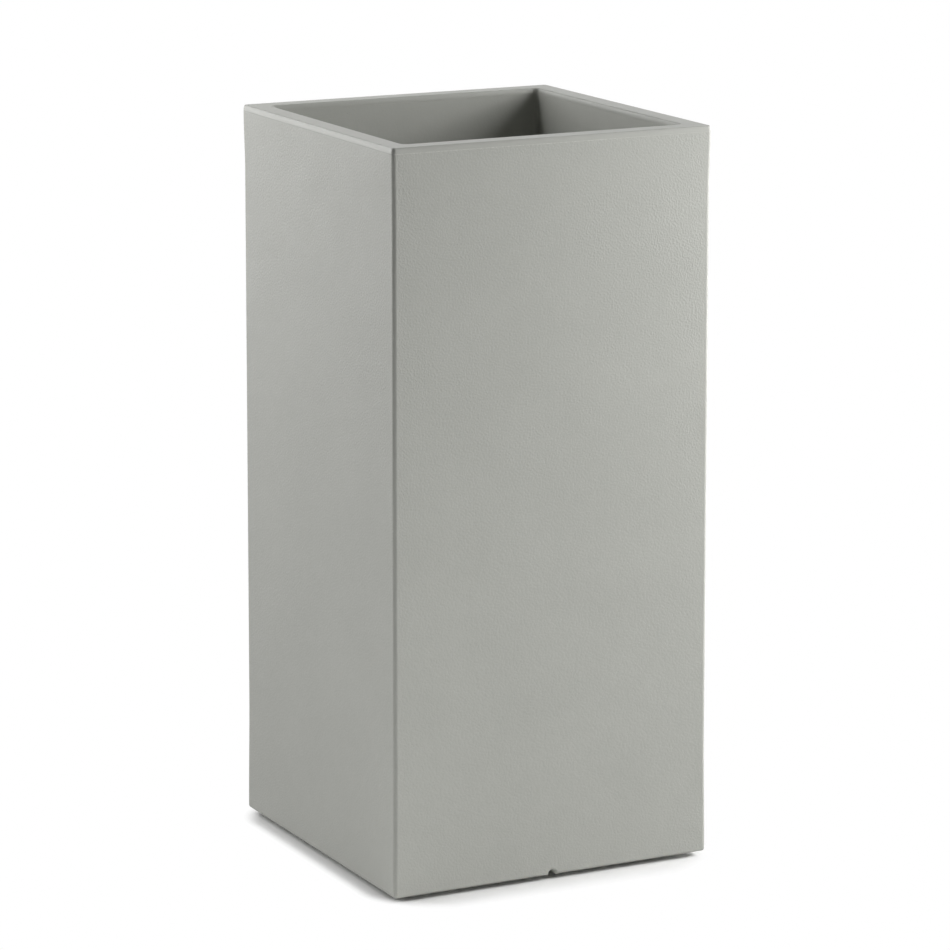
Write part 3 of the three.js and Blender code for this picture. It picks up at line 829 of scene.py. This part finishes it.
def plantingShelf():
    half, bottom, top, edge = shelf["half"], shelf["bottom"], shelf["top"], shelf["edge"]
    rounded = arc(half - edge, bottom + edge, edge, edge, -1, 0, steps=4)
    rounded += arc(half - edge, top - edge, edge, edge, 0, 1, steps=4)
    profile = [(reach, shelf["corner"] - half + reach, z) for reach, z in rounded]
    plate = sweepSquare([(0, 0, bottom)] + profile + [(0, 0, top)], closed=False)

    # holes in rows, none where a grip slot is
    pitch, across = shelf["pitch"], shelf["across"]
    gripRadius, gripSpot = shelf["gripWidth"] / 2, half - shelf["gripInset"]
    radius, clear = shelf["holeRadius"], shelf["gripRoom"]
    places = [(step - (across - 1) / 2) * pitch for step in range(across)]
    holes = []
    for x in places:
        for y in places:
            besideGrip = abs(x) + radius > gripSpot - gripRadius - clear
            alongGrip = abs(y) - radius < shelf["gripLength"] / 2 + clear
            if not (besideGrip and alongGrip):
                hole = roundHoleCutter(radius, shelf["holeEdge"], bottom, top)
                holes.append(moved(hole, x, y))
    for side in (-1, 1):
        slot = roundHoleCutter(gripRadius, shelf["gripEdge"], bottom, top,
                               shelf["gripLength"] / 2 - gripRadius, steps=40)
        holes.append(moved(slot, side * gripSpot, 0))

    # the ribs run between the rows of holes, and along the inside of the cleats
    width, ribFoot, ribTop = shelf["ribWidth"], shelf["ribFoot"], bottom + shelf["ribSunk"]
    cleatTop = bottom - body["gap"]
    edgeRib = linerHalf(cleatTop) - shelf["cleatWidth"] - shelf["ribClearance"] - width / 2
    ribSpots = [-edgeRib, *[place - pitch / 2 for place in places[1:]], edgeRib]
    length, tall, middle = 2 * edgeRib + width, ribTop - ribFoot, (ribFoot + ribTop) / 2
    alongY = [block((width, length, tall), (x, 0, middle)) for x in ribSpots]
    alongX = [block((length, width, tall), (0, y, middle)) for y in ribSpots]
    for rib in alongY + alongX:
        soften(rib, shelf["ribEdge"])
    room = (shelf["gripWidth"] + 2 * clear, shelf["gripLength"] + 2 * clear, shelf["gripCutter"])
    rooms = [block(room, (side * gripSpot, 0, middle)) for side in (-1, 1)]
    ribs = combine(merge(*alongX), ("UNION", merge(*alongY)), ("DIFFERENCE", merge(*rooms)))
    bm = combine(plate, ("UNION", ribs), ("DIFFERENCE", merge(*holes)))
    finishPiece("shelf_planting", bm, "dark_plastic", ["planting_shelf"],
                rides="shelf")


plantingShelf()


def shelfCleats():
    top = shelf["bottom"] - body["gap"]
    front = linerHalf(top) - shelf["cleatWidth"]
    backTop = linerHalf(top) - body["gap"]
    backFoot = linerHalf(top - shelf["cleatHeight"]) - body["gap"]
    for quarter, side in enumerate(("right", "back", "left", "front")):
        bm = block((1, shelf["cleatLength"], 1), (0, 0, 0))
        for vert in bm.verts:
            # the block's four long edges become the cleat's own
            atBack, atTop = vert.co.x > 0, vert.co.z > 0
            vert.co.x = (backTop if atTop else backFoot) if atBack else front
            drop = shelf["cleatHeight"] if atBack else shelf["cleatEdge"]
            vert.co.z = top - (0 if atTop else drop)
        soften(bm, shelf["cleatRound"], segments=3)
        rotated(bm, quarter * pi / 2, "Z")
        finishPiece("cleat_" + side, bm, "liner_shell", ["shelf_cleat_" + side])


shelfCleats()
print("shelf and cleats done")


# The drain: a flanged fitting through both floors, its seals, its nut and its stopper

drain = {
    "bore": 12 * mm,
    "tail": 17 * mm,
    "tailEnd": 11.2 * mm,
    "tailChamfer": 0.8 * mm,
    "flange": 28 * mm,
    "flangeFoot": 32.7 * mm,
    "flangeTop": 36.2 * mm,
    "flangeEdge": 0.4 * mm,
    "flangeRound": 1 * mm,
    "seat": 14.3 * mm,         # the seat's radius at its top, from where it tapers to the bore
    "seatDepth": 12 * mm,
    "seatEdge": 0.5 * mm,
    "thread": 0.6 * mm,        # depth of the tail's thread
    "threadEnd": 6 * mm,       # below the flange
    "pitch": 2.5 * mm,
    "sealInner": 17.3 * mm,
    "sealThickness": 2 * mm,
    "sealEdge": 0.4 * mm,
    "flangeSeal": 26 * mm,     # outer radius of each seal
    "nutSeal": 23 * mm,
    "flangeSealFoot": 30.4 * mm,
    "nutSealFoot": 21.5 * mm,
    "nutFlats": 50 * mm,
    "nutFoot": 13.2 * mm,
    "nutHeight": 8 * mm,
    "head": 18 * mm,
    "headHeight": 3 * mm,
    "headGap": 0.3 * mm,
    "headEdge": 0.5 * mm,
    "headRound": 1.2 * mm,
    "plugLength": 11 * mm,
    "plugRound": 1 * mm,
    "tabLength": 22 * mm,
    "tabWidth": 5 * mm,
    "tabHeight": 14 * mm,
    "tabSunk": 1 * mm,         # how far it reaches into the head
    "tabRound": 0.9 * mm,
}


def threaded(radius, low, high, depth, pitch):
    # a profile's side with rounded grooves, going up
    points = []
    for step in range(int((high - low) / pitch)):
        z = low + (step + 0.25) * pitch
        points += [(radius, z), (radius - depth, z + pitch * 0.28),
                   (radius - depth, z + pitch * 0.42), (radius, z + pitch * 0.7)]
    return points


def drainFitting():
    tail, tailEnd, chamfer = drain["tail"], drain["tailEnd"], drain["tailChamfer"]
    flange, foot, top = drain["flange"], drain["flangeFoot"], drain["flangeTop"]
    edge, bend = drain["flangeEdge"], drain["flangeRound"]
    bore, seatEdge = drain["bore"], drain["seatEdge"]
    profile = [(bore, tailEnd), (tail - chamfer, tailEnd), (tail, tailEnd + chamfer)]
    profile += threaded(tail, tailEnd + chamfer, foot - drain["threadEnd"], drain["thread"],
                        drain["pitch"])
    profile += [(tail, foot), (flange - edge, foot), (flange, foot + edge)]
    profile += arc(flange - bend, top - bend, bend, bend, 0, 1, steps=5)
    profile += [(drain["seat"] + seatEdge, top), (drain["seat"], top - seatEdge),
                (bore, top - drain["seatDepth"])]
    finishPiece("fitting_drain", spinProfile(profile), "black_plastic",
                ["drain_fitting"])


def sealRing(name, outer, foot, node):
    edge = drain["sealEdge"]
    low, high = foot + edge, foot + drain["sealThickness"] - edge
    inner = drain["sealInner"] + edge
    profile = arc(outer - edge, low, edge, edge, -1, 0, steps=3)
    profile += arc(outer - edge, high, edge, edge, 0, 1, steps=3)
    profile += arc(inner, high, edge, edge, 1, 2, steps=3)
    profile += arc(inner, low, edge, edge, 2, 3, steps=3)
    finishPiece(name, spinProfile(profile), "rubber", [node])


def hexNut(acrossFlats, hole, foot, height, steps=48):
    # a hexagon whose six corners are rounded off at both faces, with a chamfered hole
    bm = bmesh.new()
    reach = acrossFlats / 3 ** 0.5
    bmesh.ops.create_cone(bm, cap_ends=True, segments=6, radius1=reach, radius2=reach, depth=height)
    rotated(moved(bm, 0, 0, foot + height / 2), pi / 2, "Z")
    flats, top = acrossFlats / 2, foot + height
    drop = (reach - flats) * 0.6
    crown = spinProfile([(0, foot), (flats, foot), (reach, foot + drop), (reach, top - drop),
                         (flats, top), (0, top)], steps=steps)
    cut = hole * 0.06
    bore = spinProfile([(0, foot - overcut), (hole + cut, foot - overcut), (hole + cut, foot),
                        (hole, foot + cut), (hole, top - cut), (hole + cut, top),
                        (hole + cut, top + overcut), (0, top + overcut)], steps=steps)
    return combine(bm, ("INTERSECT", crown), ("DIFFERENCE", bore))


def drainStopper():
    headFoot = drain["flangeTop"] + drain["headGap"]
    headTop = headFoot + drain["headHeight"]
    taper = (drain["seat"] - drain["bore"]) / drain["seatDepth"]
    upper = drain["seat"] - drain["headGap"]
    lower = upper - taper * drain["plugLength"]
    foot = headFoot - drain["plugLength"]
    head, bend = drain["head"], drain["plugRound"]
    headEdge, headRound = drain["headEdge"], drain["headRound"]
    profile = [(0, foot)] + arc(lower - bend, foot + bend, bend, bend, -1, 0, steps=4)
    profile += [(upper, headFoot)]
    profile += arc(head - headEdge, headFoot + headEdge, headEdge, headEdge, -1, 0, steps=3)
    profile += arc(head - headRound, headTop - headRound, headRound, headRound, 0, 1, steps=5)
    plug = spinProfile(profile + [(0, headTop)])
    # the grip is an upright tab with a round top: a disc whose lower half is drawn down straight
    radius = drain["tabLength"] / 2
    straight = drain["tabHeight"] - radius
    tab = rotated(rod(radius, -drain["tabWidth"] / 2, drain["tabWidth"] / 2, steps=48), pi / 2, "X")
    for vert in tab.verts:
        if vert.co.z < fineWeld:
            vert.co.x = radius if vert.co.x > 0 else -radius
            vert.co.z = -straight - drain["tabSunk"]
    bmesh.ops.remove_doubles(tab, verts=tab.verts, dist=weld)
    moved(tab, 0, 0, headTop + straight)
    soften(tab, drain["tabRound"], sharper=50, segments=3)
    bm = combine(plug, ("UNION", tab))
    finishPiece("stopper_drain", bm, "rubber", ["drain_stopper"], rides="stopper")


drainFitting()
sealRing("seal_flange", drain["flangeSeal"], drain["flangeSealFoot"], "drain_flange_seal")
sealRing("seal_nut", drain["nutSeal"], drain["nutSealFoot"], "drain_nut_seal")
lockNut = hexNut(drain["nutFlats"], drain["sealInner"], drain["nutFoot"], drain["nutHeight"])
finishPiece("nut_drain", lockNut, "black_plastic", ["drain_lock_nut"])
drainStopper()
print("drain done")


# The feet: a rubber pad each, held by a socket screw and a nut

feet = {
    "pad": 15 * mm,
    "padTop": 5.7 * mm,
    "padEdge": 1.2 * mm,       # the round on its lower edge
    "smallEdge": 0.5 * mm,     # and on its other edges
    "headLow": 0.7 * mm,
    "headTop": 3.5 * mm,
    "head": 6 * mm,
    "headRound": 1 * mm,
    "headEdge": 0.2 * mm,
    "recess": 6.3 * mm,
    "recessTop": 3.8 * mm,
    "shank": 3 * mm,
    "screwTop": 20.1 * mm,
    "screwChamfer": 0.8 * mm,
    "threadFoot": 9 * mm,
    "threadEnd": 1 * mm,       # below the screw's top
    "socket": 2.3 * mm,
    "socketDepth": 1.6 * mm,
    "nutFlats": 10 * mm,
    "nutHole": 3.3 * mm,
    "nutFoot": 13.1 * mm,
    "nutHeight": 5 * mm,
    "pitch": 1 * mm,
    "thread": 0.35 * mm,
}


def footPad():
    pad, top, edge, small = feet["pad"], feet["padTop"], feet["padEdge"], feet["smallEdge"]
    hole, recess, recessTop = shell["screwHole"], feet["recess"], feet["recessTop"]
    profile = [(recess + small, 0)] + arc(pad - edge, edge, edge, edge, -1, 0, steps=5)
    profile += arc(pad - small, top - small, small, small, 0, 1, steps=3)
    profile += [(hole, top), (hole, recessTop), (recess, recessTop), (recess, small)]
    return spinProfile(profile, steps=48)


def footScrew():
    low, head, headTop, shank = feet["headLow"], feet["head"], feet["headTop"], feet["shank"]
    bend, edge = feet["headRound"], feet["headEdge"]
    top, chamfer = feet["screwTop"], feet["screwChamfer"]
    profile = [(0, low)] + arc(head - bend, low + bend, bend, bend, -1, 0, steps=4)
    profile += [(head, headTop - edge), (head - edge, headTop), (shank, headTop)]
    profile += threaded(shank, feet["threadFoot"], top - feet["threadEnd"], feet["thread"],
                        feet["pitch"])
    profile += [(shank, top - chamfer), (shank - chamfer, top), (0, top)]
    socket = rod(feet["socket"], low - feet["socketDepth"], low + feet["socketDepth"], steps=6)
    return combine(spinProfile(profile, steps=32), ("DIFFERENCE", socket))


for place, spot in footSpots.items():
    pad, screw = moved(footPad(), *spot), moved(footScrew(), *spot)
    nut = hexNut(feet["nutFlats"], feet["nutHole"], feet["nutFoot"], feet["nutHeight"], steps=32)
    finishPiece("pad_" + place, pad, "rubber", ["foot_pad_" + place])
    finishPiece("screw_" + place, screw, "steel", ["foot_screw_" + place])
    finishPiece("nut_" + place, moved(nut, *spot), "steel", ["foot_nut_" + place])
print("feet done")


# The floor: pale, pure white to the camera except where the planter darkens it

stage = {
    "half": 30,                # metres
    "grey": (0.93, 0.93, 0.925, 1),
    "shadowNear": 5 * mm,      # from the planter's front, where the floor still shows all its shade
    "shadowFar": 46 * mm,      # where it shows none
    "shadowCorner": 60 * mm,   # how round the shade is at the planter's corners
    "sideways": 1.2,           # how much sooner it ends beside the planter
}


def floorMaterial():
    finish = Finish("floor")
    tree = finish.tree
    diffuse = finish.node("ShaderNodeBsdfDiffuse", Color=stage["grey"], Roughness=0)
    white = finish.node("ShaderNodeEmission", Color=(1, 1, 1, 1), Strength=1.0)
    middle = body["footHalf"] - stage["shadowCorner"]
    beyondX = (finish.axis(0).maths("ABSOLUTE") - middle).maths("MAXIMUM", 0.0)
    beyondY = (finish.axis(1).maths("ABSOLUTE") - middle).maths("MAXIMUM", 0.0)
    # 1 mm keeps the sum off 0
    beside = beyondX / (beyondX + beyondY + 1 * mm) * stage["sideways"] + 1
    away = ((beyondX * beyondX + beyondY * beyondY).power(0.5) - stage["shadowCorner"]) * beside
    path = finish.node("ShaderNodeLightPath")
    rays = [Value(tree, path.outputs[kind]) for kind in ("Is Camera Ray", "Is Glossy Ray")]
    seen = (rays[0] + rays[1]).atMost(1.0)
    share = away.between(stage["shadowNear"], stage["shadowFar"]) * seen
    mixed = finish.node("ShaderNodeMixShader", i0=share)
    tree.links.new(diffuse.outputs[0], mixed.inputs[1])
    tree.links.new(white.outputs[0], mixed.inputs[2])
    output = next(node for node in tree.nodes if node.type == "OUTPUT_MATERIAL")
    tree.links.new(mixed.outputs[0], output.inputs[0])
    tree.nodes.remove(finish.shader)
    return finish.material


def layFloor():
    bm = bmesh.new()
    bmesh.ops.create_grid(bm, x_segments=1, y_segments=1, size=stage["half"])
    floor = asObject("floor", bm)
    floor.data.materials.append(floorMaterial())


layFloor()
print("floor done")


# The light: soft boxes and a white surround

lamps = (
    # name, place, aim, width, height, watts
    ("right", (2.550, -1.472, 2.150), (0, 0, 0.45), 1.6, 1.6, 75.1),
    ("left_low", (-1.684, 2.916, 0.923), (0, 0, 0.45), 1.6, 1.6, 41.9),
    ("left_high", (-1.472, 2.550, 2.150), (0, 0, 0.45), 1.6, 1.6, 28.6),
    ("left_side", (-2.550, 1.472, 2.150), (0, 0, 0.45), 1.6, 1.6, 10.3),
    ("back_right", (1.472, 2.550, 2.150), (0, 0, 0.45), 1.6, 1.6, 15.5),
    ("right_tall", (1.2, -0.3, 0.45), (0.2, -0.2, 0.45), 0.3, 1.0, 7.4),
    ("right_near", (1.3, -0.9, 1.0), (0.1, -0.2, 0.6), 0.5, 0.5, 7.8),
    ("right_strip", (0.45, -0.5, 0.8), (0.2, -0.2, 0.5), 0.1, 0.5, 0.52),
    ("left_above", (-0.6, 0.5, 1.5), (0, 0, 0.8), 0.3, 0.3, 3.1),
    ("front_low", (-0.8, -0.9, 0.1), (-0.2, -0.2, 0.15), 0.4, 0.2, 1.7),
)
ambient = 0.03  # strength of the surround for all but the camera


def softBox(name, place, aim, width, height, watts):
    light = bpy.data.lights.new(name, "AREA")
    light.shape = "RECTANGLE"
    light.size = width
    light.size_y = height
    light.energy = watts
    lamp = bpy.data.objects.new(name, light)
    lamp.location = place
    lamp.rotation_euler = (Vector(place) - Vector(aim)).to_track_quat("Z", "Y").to_euler()
    lamp.visible_camera = False
    bpy.context.scene.collection.objects.link(lamp)


for lamp in lamps:
    softBox(*lamp)

world = bpy.data.worlds.new("surround")
world.use_nodes = True
bpy.context.scene.world = world
surround = Value(world.node_tree, None)
background = world.node_tree.nodes["Background"]
path = surround.node("ShaderNodeLightPath")
strength = Value(world.node_tree, path.outputs["Is Camera Ray"]) * (1 - ambient) + ambient
world.node_tree.links.new(strength.socket, background.inputs["Strength"])
background.inputs["Color"].default_value = (1, 1, 1, 1)


# The camera, solved from the planter's outline, seam and rim in the photograph

view = {
    "place": (-2231.3 * mm, -4381.1 * mm, 1525.9 * mm),
    "azimuth": -27.016,        # degrees
    "elevation": 12.548,
    "roll": 0.027,
    "lens": 165.317,           # millimetres
    "sensor": 36,
}


def placeCamera():
    data = bpy.data.cameras.new("camera")
    data.lens = view["lens"]
    data.sensor_width = view["sensor"]
    data.clip_start = 0.1
    data.clip_end = 200
    camera = bpy.data.objects.new("camera", data)
    turn, drop, roll = radians(view["azimuth"]), radians(view["elevation"]), radians(view["roll"])
    forward = Vector((-sin(turn) * cos(drop), cos(turn) * cos(drop), -sin(drop)))
    right = forward.cross(Vector((0, 0, 1))).normalized()
    up = right.cross(forward)
    rolledRight = right * cos(roll) + up * sin(roll)
    rolledUp = up * cos(roll) - right * sin(roll)
    turned = Matrix((rolledRight, rolledUp, -forward)).transposed()
    camera.matrix_world = Matrix.Translation(view["place"]) @ turned.to_4x4()
    bpy.context.scene.collection.objects.link(camera)
    bpy.context.scene.camera = camera


placeCamera()
bpy.context.scene.view_settings.view_transform = "Standard"
print("light and camera done")
